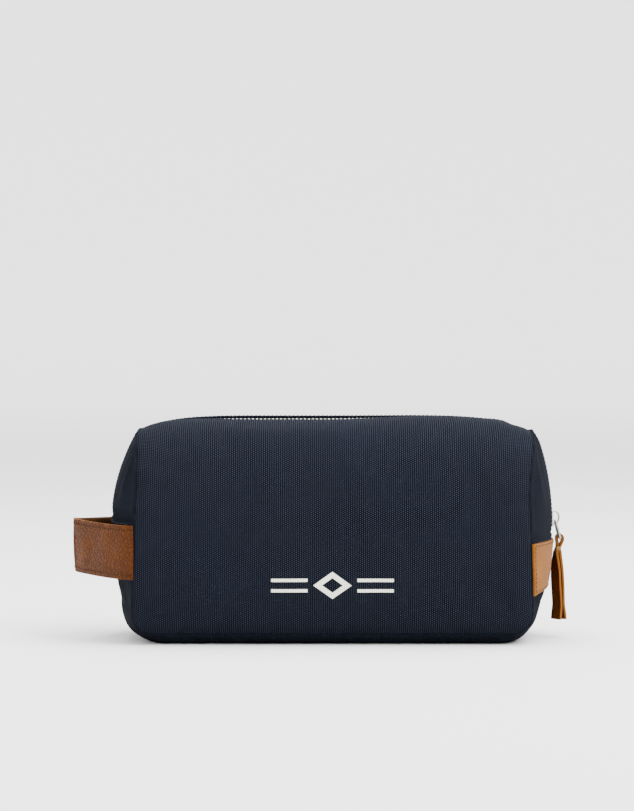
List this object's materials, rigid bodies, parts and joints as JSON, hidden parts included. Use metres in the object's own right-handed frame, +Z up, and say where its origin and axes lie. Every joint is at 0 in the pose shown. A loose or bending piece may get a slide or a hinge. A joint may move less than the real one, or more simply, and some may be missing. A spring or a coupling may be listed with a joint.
{
  "type": "wash bag",
  "caption": "Zipped canvas wash bag with boxed ends, leather carry loop, end patch and leather zip puller; the mouth opens front and rear.",
  "frame": {"origin": "centre of the flat base, on the surface the bag stands on", "axes": "+Z up, +X along the bag towards the end with the zip puller, -Y towards the front panel"},
  "size_m": [0.3072, 0.1092, 0.1389],
  "materials": {
    "canvas": "plain woven heavy canvas",
    "canvas_gusset": "plain woven heavy canvas, turned across the weave",
    "lining": "smooth woven lining",
    "board": "moulded stiffener board",
    "grained_leather": "pebbled full-grain leather",
    "smooth_leather": "smooth tan leather",
    "puller_leather": "smooth brown leather with raw edges",
    "zip_tape": "woven black zip tape",
    "zip_metal": "polished white metal",
    "thread": "waxed sewing thread"
  },
  "bodies": {
    "bag": {"base_panel": "canvas_gusset", "base_board": "board", "base_lining": "lining", "left_end_panel": "canvas_gusset", "right_end_panel": "canvas_gusset", "left_end_lining": "lining", "right_end_lining": "lining", "carry_loop": "grained_leather", "carry_loop_backing": "smooth_leather", "end_patch": "smooth_leather"},
    "front_wall": {"front_panel": "canvas", "front_lining": "lining", "left_front_flap": "canvas_gusset", "right_front_flap": "canvas_gusset", "left_front_flap_lining": "lining", "right_front_flap_lining": "lining", "front_zip_tape": "zip_tape", "front_zip_teeth": "zip_metal", "front_zip_stop": "zip_metal"},
    "rear_wall": {"rear_panel": "canvas", "rear_lining": "lining", "left_rear_flap": "canvas_gusset", "right_rear_flap": "canvas_gusset", "left_rear_flap_lining": "lining", "right_rear_flap_lining": "lining", "rear_zip_tape": "zip_tape", "rear_zip_teeth": "zip_metal", "rear_zip_stop": "zip_metal", "slip_pocket": "lining"},
    "slider": {"zip_slider": "zip_metal"},
    "link": {"pull_link": "zip_metal"},
    "puller": {"leather_puller": "puller_leather", "puller_stitch": "thread"}
  },
  "joints": [
    {"name": "front_wall_open", "type": "hinge", "parent": "bag", "child": "front_wall", "pos_m": [0, -0.049, 0.0065], "axis": [1, 0, 0], "range_deg": [0, 18]},
    {"name": "rear_wall_open", "type": "hinge", "parent": "bag", "child": "rear_wall", "pos_m": [0, 0.049, 0.0065], "axis": [-1, 0, 0], "range_deg": [0, 18]},
    {"name": "slider_travel", "type": "hinge", "parent": "bag", "child": "slider", "pos_m": [-0.00662, 0, 0.075], "axis": [0, 1, 0], "range_deg": [-16, 0]},
    {"name": "link_swing", "type": "hinge", "parent": "slider", "child": "link", "pos_m": [0.13975, 0, 0.0728], "axis": [0, -1, 0], "range_deg": [0, 100]},
    {"name": "puller_swing", "type": "hinge", "parent": "link", "child": "puller", "pos_m": [0.14245, 0, 0.06214], "axis": [0, -1, 0], "range_deg": [0, 70]}
  ]
}
